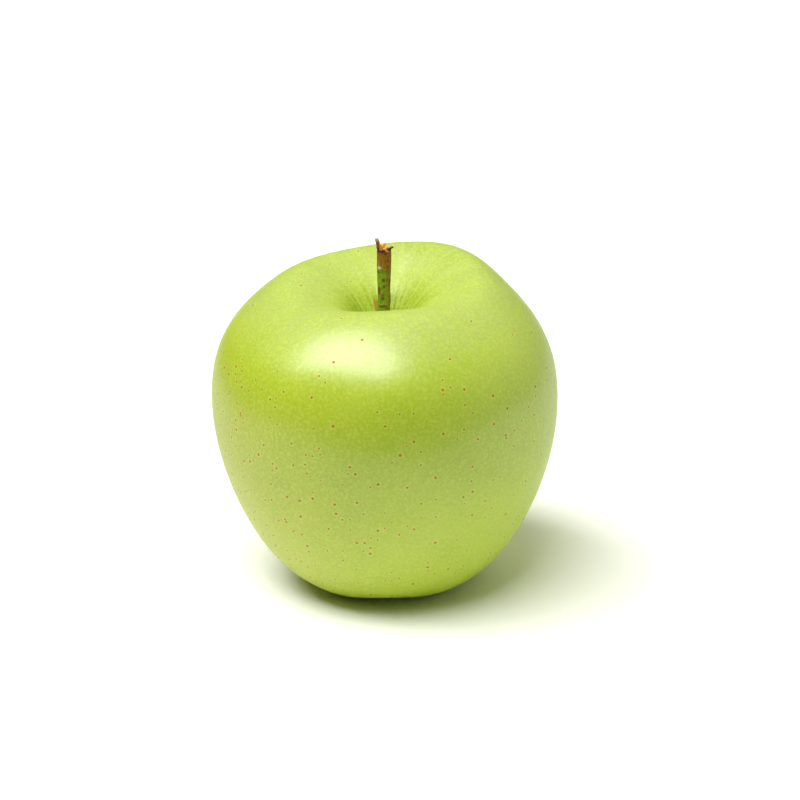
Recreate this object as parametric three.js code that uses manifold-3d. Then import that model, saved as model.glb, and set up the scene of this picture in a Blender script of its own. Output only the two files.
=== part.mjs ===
// A green apple, as picked: the fruit, its stem, the dried sepals of the flower
// and the withered stamens in the eye under it.
//
// Millimetres, +Z up. The origin is on the surface that the apple stands on,
// under the middle of its box. -Y is the apple's front.

import * as THREE from 'three';
import { NURBSCurve } from 'three/addons/curves/NURBSCurve.js';
import { mergeVertices } from 'three/addons/utils/BufferGeometryUtils.js';
import Module from 'manifold-3d';

const { degToRad, clamp, lerp, smoothstep } = THREE.MathUtils;

// ---------------------------------------------------------------- dimensions

// The fruit's half outline, from the eye underneath, up the flank and over the
// shoulder down to the stem: control points [radius, height] of a smooth curve.
const BASIN = [[3.3, 8.4], [4.4, 8.2], [6.2, 6.6], [8.0, 3.6]];
const FOOT = [[10.8, 0.3], [14.2, 0.0], [18.6, 1.5], [24.4, 4.4]];
const FLANK = [[30.3, 11.7], [35.8, 22.3], [39.3, 34.0], [40.5, 44.2], [39.8, 54.5], [35.9, 63.1]];
const CREST = [[28.3, 70.5], [21.9, 74.7], [15.5, 72.0], [10.0, 69.1]];
const CAVITY = [[7.0, 65.4], [5.0, 62.1], [3.4, 59.9], [1.9, 58.5]];

// Five lobes stand round the core, one over each seed chamber.
const LOBE_COUNT = 5;
const FIRST_LOBE = degToRad(20);
const FOOT_LOBE_HEIGHT = 0.55;
const CREST_LOBE_HEIGHT = 0.1;

// The shoulder grew higher at the back right. It rises and falls in two broad
// waves, a two-sided one and a three-sided one, each with a first high point.
// The whole top leans a little to the front left.
const SHOULDER_RISE = { x: 1.4, y: 2.5 };
const OVAL_WAVE_HEIGHT = 0.7;
const OVAL_WAVE_START = degToRad(70);
const THREE_WAVE_HEIGHT = 0.9;
const THREE_WAVE_START = degToRad(37);
const LEAN = { x: -1.1, y: -1.0 };
const LEAN_FROM = 6;
const LEAN_FULL = 76;

// Where those forms are strongest, and how far they fade out from there.
const CREST_RADIUS = 25;
const CREST_SPREAD = 14;
const FOOT_RADIUS = 14;
const FOOT_SPREAD = 8;
const FOOT_TOP = 18;
const FOOT_FADE = 4;

// The plain hole in the flesh that the stem's foot stands in, and the eye: a
// round seat for the sepals with a narrow tube above it.
const SOCKET_RADIUS = 1.75;
const SOCKET_FLOOR = 53.3;
const SEAT_RADIUS = 3.3;
const SEAT_TOP = 9.6;
const EYE_RADIUS = 1.5;
const EYE_TOP = 13.3;

const FRUIT_SEGMENTS = 80;
const RINGS_PER_POINT = 3;

// The stem: slender at its foot, wider where it was torn from the twig.
const STEM_FOOT = new THREE.Vector3(-0.45, -1.0, 53.7);
const STEM_BEND = new THREE.Vector3(-0.6, -0.8, 67.4);
const STEM_RIM = new THREE.Vector3(-0.5, 0.2, 80.5);
const STEM_FOOT_RADIUS = 1.2;
const STEM_RIM_RADIUS = 1.6;
const STEM_WAIST = 0.4;
const STEM_UNROUND = 0.04;
const STEM_SEGMENTS = 18;
const STEM_RINGS = 16;
const BARK_THICKNESS = 0.6;
const TORN_CUP_DEPTH = 1.5;
const RIM_RAGGED = 0.25;

// Torn wood that stands out of the stem's end: azimuth in degrees, distance of
// the root from the stem's middle, width, height over the rim, outward curl.
const SPLINTERS = [
  { azimuth: 184, root: 1.25, width: 1.5, height: 2.6, curl: 0.45 },
  { azimuth: 80, root: 0.35, width: 0.8, height: 1.3, curl: 0.1 },
  { azimuth: 160, root: 0.45, width: 0.7, height: 0.9, curl: 0.0 },
  { azimuth: 345, root: 0.5, width: 0.8, height: 0.7, curl: 0.15 },
  { azimuth: 5, root: 1.2, width: 0.8, height: 0.6, curl: 0.8 },
  { azimuth: 280, root: 0.5, width: 0.8, height: 0.3, curl: 0.0 },
];
const SPLINTER_THICKNESS = 0.6;
const SPLINTER_ROOT_DEPTH = 1.9;
const SPLINTER_TIP = 0.35;

// The calyx: a flat ring and five pointed sepals that close over the eye and
// curl out again at their tips. The path is [radius, height] from root to tip.
const CALYX_RING_INNER = 1.9;
const CALYX_RING_OUTER = 2.95;
const CALYX_RING_LOW = 8.2;
const CALYX_RING_TOP = 9.25;
const SEPAL_PATH = [[2.45, 8.9], [3.2, 6.9], [2.1, 5.2], [1.2, 3.8], [2.4, 2.2], [4.2, 2.4]];
const SEPAL_WIDTH = 3.0;
const SEPAL_TIP_WIDTH = 0.5;
const SEPAL_THICKNESS = 0.6;
const SEPAL_CUP = 0.35;
const SEPAL_STEPS = 12;

// Withered stamens on a small cushion in the eye.
const STAMEN_COUNT = 6;
const STAMEN_RADIUS = 0.3;
const STAMEN_RING = 0.62;
const STAMEN_TIPS = 6.4;
const STAMEN_TIP_STEP = 0.45;
const CUSHION_RADIUS = 1.05;
const CUSHION_LOW = 12.3;
const CUSHION_TOP = 12.95;

// ----------------------------------------------------------------- materials

function finish(color, roughness) {
  return new THREE.MeshStandardMaterial({ color, roughness, metalness: 0 });
}

const skin = finish(0xa9c83a, 0.34);
const stemBark = finish(0x6f7a1c, 0.7);
const driedSepal = finish(0x6b6a34, 0.85);
const driedStamen = finish(0x4a3420, 0.9);

// ------------------------------------------------------------------- helpers

const wasm = await Module();
wasm.setup();

// A smooth curve that starts at the first control point and ends at the last.
function smoothCurve(points) {
  const degree = 3;
  const spans = points.length - degree;
  const knots = [
    ...Array(degree).fill(0),
    ...Array.from({ length: spans + 1 }, (_, i) => i / spans),
    ...Array(degree).fill(1),
  ];
  const controls = points.map(([x, y]) => new THREE.Vector4(x, y, 0, 1));
  return new NURBSCurve(degree, knots, controls);
}

// 1 at the middle of a bump, fading to 0 over the given spread.
function bump(value, middle, spread) {
  return Math.exp(-(((value - middle) / spread) ** 2));
}

// A surface of revolution about Z, from [radius, height] points.
function lathe(points, segments) {
  const profile = points.map(([x, y]) => new THREE.Vector2(x, y));
  return new THREE.LatheGeometry(profile, segments).rotateX(Math.PI / 2);
}

// Moves each vertex of a geometry by a rule that changes the vertex it is given.
function reshape(geometry, rule) {
  const position = geometry.getAttribute('position');
  const vertex = new THREE.Vector3();
  for (let i = 0; i < position.count; i += 1) {
    vertex.fromBufferAttribute(position, i);
    rule(vertex);
    position.setXYZ(i, vertex.x, vertex.y, vertex.z);
  }
  geometry.computeVertexNormals();
  return geometry;
}

// The solid of a closed geometry: its shared vertices are merged, and the
// triangles that a lathe leaves without area at its poles are dropped.
function solidOf(geometry) {
  const bare = new THREE.BufferGeometry();
  bare.setAttribute('position', geometry.getAttribute('position'));
  bare.setIndex(geometry.index);
  const merged = mergeVertices(bare, 1e-4);
  const corners = merged.index.array;
  const kept = [];
  for (let i = 0; i < corners.length; i += 3) {
    const [a, b, c] = corners.slice(i, i + 3);
    if (a !== b && b !== c && c !== a) kept.push(a, b, c);
  }
  return new wasm.Manifold(new wasm.Mesh({
    numProp: 3,
    vertProperties: merged.getAttribute('position').array,
    triVerts: new Uint32Array(kept),
  }));
}

// Several geometries that grew together, joined in one.
function fused(geometries) {
  const whole = geometries.map(solidOf).reduce((sum, solid) => sum.add(solid));
  const mesh = whole.getMesh();
  const joined = new THREE.BufferGeometry();
  joined.setAttribute('position', new THREE.BufferAttribute(mesh.vertProperties, 3));
  joined.setIndex(new THREE.BufferAttribute(mesh.triVerts, 1));
  joined.computeVertexNormals();
  return joined;
}

function piece(name, geometry, material) {
  const mesh = new THREE.Mesh(geometry, material);
  mesh.name = name;
  return mesh;
}

// --------------------------------------------------------------------- fruit

// Gives the round fruit its lobes, its uneven shoulder and its lean, and
// flattens the lobes a little where they stand.
function growUneven(vertex) {
  const radius = Math.hypot(vertex.x, vertex.y);
  const azimuth = Math.atan2(vertex.y, vertex.x);
  const offAxis = radius > SOCKET_RADIUS / 2 ? 1 : 0;
  const up = clamp((vertex.z - LEAN_FROM) / (LEAN_FULL - LEAN_FROM), 0, 1) ** 2;
  const lobe = Math.cos(LOBE_COUNT * (azimuth - FIRST_LOBE));

  const rise = SHOULDER_RISE.x * Math.cos(azimuth) + SHOULDER_RISE.y * Math.sin(azimuth)
    + OVAL_WAVE_HEIGHT * Math.cos(2 * (azimuth - OVAL_WAVE_START))
    + THREE_WAVE_HEIGHT * Math.cos(3 * (azimuth - THREE_WAVE_START))
    + CREST_LOBE_HEIGHT * lobe;
  const crest = up * bump(radius, CREST_RADIUS, CREST_SPREAD);
  const foot = bump(radius, FOOT_RADIUS, FOOT_SPREAD)
    / (1 + Math.exp((vertex.z - FOOT_TOP) / FOOT_FADE));

  vertex.z += offAxis * (crest * rise - foot * FOOT_LOBE_HEIGHT * lobe);
  vertex.z = Math.max(vertex.z, 0);
  vertex.x += LEAN.x * up;
  vertex.y += LEAN.y * up;
}

function fruitGeometry() {
  const outline = [...BASIN, ...FOOT, ...FLANK, ...CREST, ...CAVITY];
  const rings = RINGS_PER_POINT * (outline.length - 3);
  const profile = [
    [0, EYE_TOP],
    [EYE_RADIUS - 0.4, EYE_TOP],
    [EYE_RADIUS, EYE_TOP - 0.6],
    [EYE_RADIUS, SEAT_TOP],
    [SEAT_RADIUS, SEAT_TOP],
    ...smoothCurve(outline).getPoints(rings).map((p) => [p.x, p.y]),
    [SOCKET_RADIUS, CAVITY.at(-1)[1] - 0.6],
    [SOCKET_RADIUS, SOCKET_FLOOR],
    [0, SOCKET_FLOOR],
  ];
  return reshape(lathe(profile, FRUIT_SEGMENTS), growUneven);
}

// ---------------------------------------------------------------------- stem

// The middle of the stem at a height, and its radius there.
const stemPath = new THREE.QuadraticBezierCurve3(STEM_FOOT, STEM_BEND, STEM_RIM);

function stemFraction(height) {
  return (height - STEM_FOOT.z) / (STEM_RIM.z - STEM_FOOT.z);
}

function stemRadius(fraction) {
  const widening = smoothstep(fraction, STEM_WAIST, 1);
  const early = clamp(fraction / STEM_WAIST, 0, 1);
  return lerp(STEM_FOOT_RADIUS, STEM_RIM_RADIUS, 0.35 * early + 0.65 * widening);
}

// Carries a vertex that was made round the Z axis onto the stem's own middle.
function followStem(vertex) {
  const middle = stemPath.getPoint(clamp(stemFraction(vertex.z), 0, 1));
  vertex.x += middle.x;
  vertex.y += middle.y;
}

// How far the torn rim rises at an azimuth: it is ragged, and higher at the left.
function tornRim(azimuth) {
  const teeth = Math.sin(3 * azimuth + 0.6) + 0.5 * Math.sin(7 * azimuth);
  return RIM_RAGGED * (teeth - Math.cos(azimuth));
}

function stemBody() {
  const wall = [];
  for (let i = 0; i <= STEM_RINGS; i += 1) {
    const fraction = i / STEM_RINGS;
    wall.push([stemRadius(fraction), lerp(STEM_FOOT.z + 0.4, STEM_RIM.z, fraction)]);
  }
  const profile = [
    [0, STEM_FOOT.z],
    [STEM_FOOT_RADIUS * 0.7, STEM_FOOT.z],
    ...wall,
    [STEM_RIM_RADIUS - BARK_THICKNESS, STEM_RIM.z],
    [STEM_RIM_RADIUS - BARK_THICKNESS * 1.3, STEM_RIM.z - TORN_CUP_DEPTH * 0.8],
    [0, STEM_RIM.z - TORN_CUP_DEPTH],
  ];
  return reshape(lathe(profile, STEM_SEGMENTS), (vertex) => {
    const azimuth = Math.atan2(vertex.y, vertex.x);
    const unround = 1 + STEM_UNROUND * (Math.cos(2 * azimuth) + Math.cos(3 * azimuth + 1));
    const onRim = vertex.z > STEM_RIM.z - 0.1 ? 1 : 0;
    vertex.x *= unround;
    vertex.y *= unround;
    followStem(vertex);
    vertex.z += onRim * tornRim(azimuth);
  });
}

// A flat splinter of torn wood, rooted in the stem and tapering to its tip.
function splinter({ azimuth, root, width, height, curl }) {
  const length = SPLINTER_ROOT_DEPTH + height;
  const blade = new THREE.BoxGeometry(SPLINTER_THICKNESS, width, length, 1, 1, 6);
  reshape(blade, (vertex) => {
    const along = vertex.z / length + 0.5;
    const over = Math.max(0, along * length - SPLINTER_ROOT_DEPTH) / height;
    vertex.y *= lerp(1, SPLINTER_TIP, over ** 1.5);
    vertex.x += root + curl * over ** 2;
    vertex.z = STEM_RIM.z - SPLINTER_ROOT_DEPTH + along * length;
  });
  blade.rotateZ(degToRad(azimuth));
  return reshape(blade, followStem);
}

// --------------------------------------------------------------------- calyx

function calyxRing() {
  return lathe([
    [CALYX_RING_INNER, CALYX_RING_LOW],
    [CALYX_RING_OUTER, CALYX_RING_LOW],
    [CALYX_RING_OUTER, CALYX_RING_TOP],
    [CALYX_RING_INNER, CALYX_RING_TOP],
    [CALYX_RING_INNER, CALYX_RING_LOW],
  ], 30);
}

// One sepal, bent along its path, hollow towards the eye and pointed.
function sepal(index) {
  const path = smoothCurve(SEPAL_PATH);
  const blade = new THREE.BoxGeometry(SEPAL_THICKNESS, SEPAL_WIDTH, 1, 1, 4, SEPAL_STEPS);
  reshape(blade, (vertex) => {
    const along = 0.5 - vertex.z;
    const across = vertex.y / (SEPAL_WIDTH / 2);
    const middle = path.getPoint(along);
    const heading = path.getTangent(along);
    const outward = vertex.x - SEPAL_CUP * across ** 2 * (1 - along);
    vertex.y *= lerp(1, SEPAL_TIP_WIDTH / SEPAL_WIDTH, along ** 1.4);
    vertex.x = middle.x - outward * heading.y;
    vertex.z = middle.y + outward * heading.x;
  });
  return blade.rotateZ(FIRST_LOBE + (index * 2 * Math.PI) / LOBE_COUNT);
}

// ------------------------------------------------------------------- stamens

function cushion() {
  return new THREE.CylinderGeometry(CUSHION_RADIUS, CUSHION_RADIUS, CUSHION_TOP - CUSHION_LOW, 18)
    .rotateX(Math.PI / 2)
    .translate(0, 0, (CUSHION_TOP + CUSHION_LOW) / 2);
}

function stamen(index) {
  const tip = STAMEN_TIPS + STAMEN_TIP_STEP * ((index * 5) % 3);
  const top = (CUSHION_LOW + CUSHION_TOP) / 2;
  return new THREE.CylinderGeometry(STAMEN_RADIUS, STAMEN_RADIUS * 0.9, top - tip, 6)
    .rotateX(Math.PI / 2)
    .translate(STAMEN_RING, 0, (top + tip) / 2)
    .rotateZ((index * 2 * Math.PI) / STAMEN_COUNT);
}

// --------------------------------------------------------------------- apple

const greenApple = new THREE.Group();
const sepals = Array.from({ length: LOBE_COUNT }, (_, i) => sepal(i));
const stamens = Array.from({ length: STAMEN_COUNT }, (_, i) => stamen(i));
greenApple.add(
  piece('fruit', fruitGeometry(), skin),
  piece('stem', fused([stemBody(), ...SPLINTERS.map(splinter)]), stemBark),
  piece('calyx', fused([calyxRing(), ...sepals]), driedSepal),
  piece('stamens', fused([cushion(), ...stamens]), driedStamen),
);

// Everything above is placed from the axis of the core. The lean puts the widest
// round a little off it, so the whole apple is moved to stand over the origin.
const middle = new THREE.Box3().setFromObject(greenApple).getCenter(new THREE.Vector3());
greenApple.position.set(-middle.x, -middle.y, 0);

export default greenApple;
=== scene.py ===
# %% [markdown]
# # A green apple
#
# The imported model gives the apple's true shape: the fruit, its stem, the dried calyx and
# the stamens. This notebook gives each of them the surface that grew on it. It works in
# metres, in the model's own frame, so nothing has to be fitted afterwards.

# %% The frame
import math
import random

import bmesh
import bpy
import numpy as np
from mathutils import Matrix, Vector, noise


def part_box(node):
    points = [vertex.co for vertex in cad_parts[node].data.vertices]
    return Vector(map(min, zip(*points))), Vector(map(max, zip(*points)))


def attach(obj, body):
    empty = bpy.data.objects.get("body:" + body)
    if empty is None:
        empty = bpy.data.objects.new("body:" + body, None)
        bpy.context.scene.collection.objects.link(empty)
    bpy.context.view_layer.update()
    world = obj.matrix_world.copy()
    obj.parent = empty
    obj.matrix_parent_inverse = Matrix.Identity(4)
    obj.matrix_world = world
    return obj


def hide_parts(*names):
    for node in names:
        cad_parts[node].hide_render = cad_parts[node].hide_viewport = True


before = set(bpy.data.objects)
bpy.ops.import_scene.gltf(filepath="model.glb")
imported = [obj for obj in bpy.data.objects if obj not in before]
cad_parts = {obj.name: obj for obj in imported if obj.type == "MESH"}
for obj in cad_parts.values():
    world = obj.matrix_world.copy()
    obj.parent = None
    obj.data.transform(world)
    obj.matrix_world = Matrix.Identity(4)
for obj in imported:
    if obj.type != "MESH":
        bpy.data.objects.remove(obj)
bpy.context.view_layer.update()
MM = 0.001
print("solids in the frame:", sorted(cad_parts))

# %% [markdown]
# ## The axis of the core
#
# An apple grows round its core, and colours and fine relief follow that growth. The
# middle of the fruit's own box would miss the core's axis by half a millimetre, since
# the fruit leans. The stamens stand in the eye exactly on the axis, so the middle of
# their box gives it.

# %% The axis of the core
SEED_CHAMBER_HEIGHT = 39 * MM

stamen_low, stamen_high = (Vector(corner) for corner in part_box("stamens"))
CORE = (stamen_low + stamen_high) / 2
CORE.z = SEED_CHAMBER_HEIGHT
print("core axis in mm: x %.2f, y %.2f" % (CORE.x / MM, CORE.y / MM))

# %% [markdown]
# ## The camera
#
# A portrait lens from a little above is how fruit is shown on a packshot table: it
# keeps the apple's proportions and looks into the cavity round the stem. A wide lens
# from close by would take in as much, but it swells the side that is nearest. The lens
# is worked out from the width that the view takes in at the apple.

# %% The camera
CAMERA_DISTANCE = 650 * MM
CAMERA_ELEVATION = math.radians(20.25)
VIEW_WIDTH = 186 * MM
SENSOR_WIDTH = 36.0
AIM = Vector((3.5, 0.3, 44.0)) * MM

camera = bpy.data.objects.new("camera", bpy.data.cameras.new("camera"))
camera.data.sensor_width = SENSOR_WIDTH
camera.data.lens = SENSOR_WIDTH * CAMERA_DISTANCE / VIEW_WIDTH
camera.data.clip_start = 10 * MM
backwards = Vector((0, -math.cos(CAMERA_ELEVATION), math.sin(CAMERA_ELEVATION)))
camera.location = AIM + backwards * CAMERA_DISTANCE
camera.rotation_euler = (-backwards).to_track_quat("-Z", "Y").to_euler()
bpy.context.collection.objects.link(camera)
bpy.context.scene.camera = camera
print("lens: %.1f mm" % camera.data.lens)

# %% [markdown]
# ## Colours and nodes
#
# Colours are written as they are seen, in sRGB, and one function turns them into the
# linear values that the renderer adds up. A second one adds a shader node with its
# settings and links, so each material below reads as a list of what it is made of.

# %% Colours and nodes
def linear(hex_colour):
    """The linear RGBA of an sRGB colour such as #A5C42F."""
    channels = [int(hex_colour[i:i + 2], 16) / 255 for i in (1, 3, 5)]
    light = [c / 12.92 if c <= 0.04045 else ((c + 0.055) / 1.055) ** 2.4 for c in channels]
    return (*light, 1.0)


def add_node(tree, kind, inputs=None, **settings):
    """A new node. Each input is another node's socket, to link, or a constant."""
    node = tree.nodes.new(kind)
    for name, value in settings.items():
        setattr(node, name, value)
    sockets = {socket.identifier: socket for socket in node.inputs}
    for name, value in (inputs or {}).items():
        socket = sockets.get(name) or node.inputs[name]
        if isinstance(value, bpy.types.NodeSocket):
            tree.links.new(value, socket)
        else:
            socket.default_value = value
    return node


def new_material(name):
    """An empty material, its node tree and its output node."""
    material = bpy.data.materials.new(name)
    material.use_nodes = True
    tree = material.node_tree
    tree.nodes.clear()
    return material, tree, tree.nodes.new("ShaderNodeOutputMaterial")


print("the grey #808080 gives back %.0f%% of the light" % (100 * linear("#808080")[0]))

# %% [markdown]
# ## The white paper
#
# The apple stands on plain white paper that runs on far behind it. In front and at the
# left the paper ends just out of view, on a grey table: less white then shows in the
# waxy skin, which keeps its green deep. A curved sweep could close the scene behind, but
# the camera looks down, so a level sheet that runs far enough fills the view.

# %% The paper and the table
PAPER_LEFT, PAPER_RIGHT = -0.22, 0.6
PAPER_FRONT, PAPER_BACK = -0.15, 6.0
TABLE_SIZE = 12.0
TABLE_DROP = 1 * MM


def flat_sheet(name, left, right, front, back, height):
    """A level rectangle."""
    mesh = bpy.data.meshes.new(name)
    corners = [(left, front), (right, front), (right, back), (left, back)]
    mesh.from_pydata([(x, y, height) for x, y in corners], [], [(0, 1, 2, 3)])
    sheet = bpy.data.objects.new(name, mesh)
    bpy.context.collection.objects.link(sheet)
    return sheet


half = TABLE_SIZE / 2
paper = flat_sheet("white_paper", PAPER_LEFT, PAPER_RIGHT, PAPER_FRONT, PAPER_BACK, 0.0)
table = flat_sheet("grey_table", -half, half, -half, half, -TABLE_DROP)
print("the paper is %.2f m wide, the table %.0f m" % (PAPER_RIGHT - PAPER_LEFT, TABLE_SIZE))

# %% [markdown]
# The paper is uncoated: wood fibres, pressed and dried. The table is linoleum: oil and
# cork dust, rolled on jute. Both are rough and hardly shine, so they give the eye soft
# light and soft grey and no gleam of their own. An image of each could be laid on, but
# a noise needs no file and never repeats. Fibres are a fiftieth of a millimetre thick
# and cork dust a tenth, too fine to show, so the grain of both is drawn 0.8 mm wide.

# %% What the paper and the table are made of
PAPER_WHITE = "#FBFBFA"
PAPER_SHADE = "#F5F5F3"
TABLE_GREY = "#5A5A58"
TABLE_SHADE = "#4A4A49"
SHEET_GRAIN = 0.8 * MM

for sheet, name, light, dark in (
    (paper, "matt_white_paper", PAPER_WHITE, PAPER_SHADE),
    (table, "grey_linoleum", TABLE_GREY, TABLE_SHADE),
):
    material, tree, output = new_material(name)
    fibre = add_node(tree, "ShaderNodeTexNoise", {
        "Vector": add_node(tree, "ShaderNodeTexCoord").outputs["Object"],
        "Scale": 1 / SHEET_GRAIN, "Detail": 2.0,
    })
    grained = add_node(tree, "ShaderNodeMix", {
        "Factor_Float": fibre.outputs["Fac"],
        "A_Color": linear(light), "B_Color": linear(dark),
    }, data_type="RGBA")
    matt = add_node(tree, "ShaderNodeBsdfPrincipled", {
        "Base Color": grained.outputs[2],
        "Roughness": 0.9,
        "Specular IOR Level": 0.2,
    })
    tree.links.new(matt.outputs["BSDF"], output.inputs["Surface"])
    sheet.data.materials.append(material)
    print(sheet.name, "is a level sheet of", name)

# %% [markdown]
# ## The light
#
# One long softbox hangs overhead, in front and to the left. It gives the broad gleam on
# the shoulder and the soft shadow to the right. A bright world could light the apple
# too, but an area lamp has an edge and a size, and its size alone sets how soft the
# shadow is. A spot far behind keeps the paper there white without touching the apple.

# %% The softbox
SOFTBOX_LENGTH = 3.3
SOFTBOX_WIDTH = 1.5
SOFTBOX_DISTANCE = 3.0
SOFTBOX_POWER = 150.0
SOFTBOX_AZIMUTH = math.radians(-53)
SOFTBOX_ELEVATION = math.radians(67)
SOFTBOX_TILT = math.radians(14)


def direction_to(azimuth, elevation):
    """The unit vector to a place that is azimuth round from the front, to the right."""
    return Vector((
        math.sin(azimuth) * math.cos(elevation),
        -math.cos(azimuth) * math.cos(elevation),
        math.sin(elevation),
    ))


to_softbox = direction_to(SOFTBOX_AZIMUTH, SOFTBOX_ELEVATION)
softbox = bpy.data.objects.new("softbox", bpy.data.lights.new("softbox", "AREA"))
softbox.data.shape = "RECTANGLE"
softbox.data.size = SOFTBOX_LENGTH
softbox.data.size_y = SOFTBOX_WIDTH
softbox.data.energy = SOFTBOX_POWER
softbox.location = AIM + to_softbox * SOFTBOX_DISTANCE
softbox.rotation_euler = (-to_softbox).to_track_quat("-Z", "Y").to_euler()
softbox.rotation_euler.rotate_axis("Z", SOFTBOX_TILT)
bpy.context.collection.objects.link(softbox)
print("softbox at", [round(metres, 2) for metres in softbox.location], "m")

# %% The light on the paper behind
PAPER_SPOT_POWER = 40.0
PAPER_SPOT_ANGLE = math.radians(76)
PAPER_SPOT_RADIUS = 0.1
PAPER_SPOT_PLACE = (0.0, 1.2, 1.5)

paper_spot = bpy.data.objects.new("paper_spot", bpy.data.lights.new("paper_spot", "SPOT"))
paper_spot.data.energy = PAPER_SPOT_POWER
paper_spot.data.spot_size = PAPER_SPOT_ANGLE
paper_spot.data.spot_blend = 1.0
paper_spot.data.shadow_soft_size = PAPER_SPOT_RADIUS
paper_spot.location = PAPER_SPOT_PLACE
bpy.context.collection.objects.link(paper_spot)
spot_radius = PAPER_SPOT_PLACE[2] * math.tan(PAPER_SPOT_ANGLE / 2)
print("the spot lights a circle %.1f m across" % (2 * spot_radius))

# %% [markdown]
# The room is dark where the camera stands. A white cloth hangs high at the back, the
# lit backdrop glows behind the apple, and a white board stands at the right: they show
# as pale rims on the skin. They could be sheets with lamps behind them. Here each is a
# soft patch of light in the world, brightest in the middle and gone a quarter turn
# away, which costs nothing to render.

# %% The room
ROOM_WHITE = "#F6FAD2"

# The cloth, the backdrop and the board, each with its azimuth and elevation in degrees,
# its brightness in the middle, and how fast it falls off.
PATCHES = (
    (130, 70, 0.8, 7.0),
    (165, 35, 0.45, 3.0),
    (90, 8, 0.48, 3.0),
)

room = bpy.data.worlds.new("studio_room")
room.use_nodes = True
tree = room.node_tree
looking = add_node(tree, "ShaderNodeTexCoord").outputs["Generated"]
brightness = 0.0
for azimuth, elevation, strength, falloff in PATCHES:
    facing = add_node(tree, "ShaderNodeVectorMath", {
        0: looking, 1: direction_to(math.radians(azimuth), math.radians(elevation)),
    }, operation="DOT_PRODUCT")
    near_side = add_node(tree, "ShaderNodeMath", {
        0: facing.outputs["Value"], 1: 0.0,
    }, operation="MAXIMUM")
    patch = add_node(tree, "ShaderNodeMath", {
        0: near_side.outputs[0], 1: falloff,
    }, operation="POWER")
    brightness = add_node(tree, "ShaderNodeMath", {
        0: patch.outputs[0], 1: strength, 2: brightness,
    }, operation="MULTIPLY_ADD").outputs[0]
walls = tree.nodes["Background"]
walls.inputs["Color"].default_value = linear(ROOM_WHITE)
tree.links.new(brightness, walls.inputs["Strength"])
bpy.context.scene.world = room
bpy.context.scene.view_settings.view_transform = "Standard"
print("patches of light in the room:", len(PATCHES))

# %% [markdown]
# ## From a solid to a piece
#
# The fruit and its small parts keep the form of their solids, so each one starts from
# its solid's own surface: the corners that the triangles share are joined, and a
# modifier then makes the surface fine enough for relief. Each could be modelled again
# by hand, but that would only risk a different size.

# %% From a solid to a piece
WELD = 0.001 * MM


def surface_of(node):
    """A solid's surface as a bmesh with its shared corners joined."""
    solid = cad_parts[node].data
    surface = bmesh.new()
    corners = [surface.verts.new(vertex.co) for vertex in solid.vertices]
    for face in solid.polygons:
        surface.faces.new([corners[i] for i in face.vertices])
    bmesh.ops.remove_doubles(surface, verts=surface.verts, dist=WELD)
    return surface


def new_piece(name, surface):
    """An object from a bmesh."""
    mesh = bpy.data.meshes.new(name)
    surface.to_mesh(mesh)
    surface.free()
    piece = bpy.data.objects.new(name, mesh)
    bpy.context.collection.objects.link(piece)
    return piece


def apply_modifiers(piece):
    """Puts what the modifiers make into the mesh, and shades it smooth."""
    bpy.context.view_layer.update()
    evaluated = piece.evaluated_get(bpy.context.evaluated_depsgraph_get())
    piece.data = bpy.data.meshes.new_from_object(evaluated)
    piece.modifiers.clear()
    piece.data.shade_smooth()


print("faces of the fruit's solid:", len(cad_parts["fruit"].data.polygons))

# %% [markdown]
# ## The fruit's shape
#
# The fruit is one swollen body of flesh in a smooth skin. The solid is a grid of rings,
# so its triangles join back into four-sided faces, and two levels of subdivision give a
# smooth skin with a face every half millimetre or so. A remesh would be as fine, but its
# faces would cut across the crest in steps instead of running round it.

# %% The fruit's surface
LARGEST_BEND = math.radians(50)
LARGEST_SKEW = math.radians(60)
FINER_LEVELS = 2

surface = surface_of("fruit")
bmesh.ops.join_triangles(
    surface, faces=surface.faces,
    angle_face_threshold=LARGEST_BEND, angle_shape_threshold=LARGEST_SKEW,
)
four_sided = sum(len(face.verts) == 4 for face in surface.faces)
print("four-sided faces: %d of %d" % (four_sided, len(surface.faces)))
fruit = new_piece("apple_fruit", surface)
fruit.modifiers.new("fine", "SUBSURF").levels = FINER_LEVELS
apply_modifiers(fruit)

# %% [markdown]
# The stem and the calyx grew out of the flesh, but their solids stand in holes with a
# little air round them. The skin is drawn in over that air, so that it meets the stem
# and the calyx as it does on a real apple. Joining the meshes would close the air too,
# but then they would no longer be pieces of their own. A point next to the hole moves
# the whole way, and one a few millimetres off doesn't move at all.
#
# There are over 80,000 vertices, and a loop over them in Python is slow, so numpy
# handles them all at once. One helper reads them, and the other is a smooth step.

# %% All the vertices at once
def rows_of(piece, what):
    """The places ("co") or the facing ("normal") of the vertices, one row each."""
    values = np.empty(3 * len(piece.data.vertices))
    piece.data.vertices.foreach_get(what, values)
    return values.reshape(-1, 3)


def fade(value, start, end):
    """0 at the start, 1 at the end, and smooth between."""
    share = np.clip((value - start) / (end - start), 0, 1)
    return share * share * (3 - 2 * share)


places = rows_of(fruit, "co")
print("vertices of the skin:", len(places))

# %% The skin meets the stem and the calyx
STEM_HOLE_RADIUS = 1.75 * MM
STEM_HOLE_AIR = 0.75 * MM
STEM_FOOT_HEIGHT = 3 * MM
CALYX_SEAT_RADIUS = 3.3 * MM
CALYX_SEAT_AIR = 0.5 * MM
DRAWN_IN = 1.6 * MM
SHORT_OF_THE_MIDDLE = 0.9


def draw_in(places, middle, hole_radius, air, chosen):
    """Moves the chosen places towards a hole's middle, by the air round what is in it."""
    across = places[:, :2] - np.array(middle)[:2]
    distance = np.hypot(across[:, 0], across[:, 1])
    step = air * fade(distance, hole_radius + DRAWN_IN, hole_radius) * chosen
    step = np.minimum(step, SHORT_OF_THE_MIDDLE * distance)
    places[:, :2] -= across * (step / np.maximum(distance, WELD))[:, None]


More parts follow.
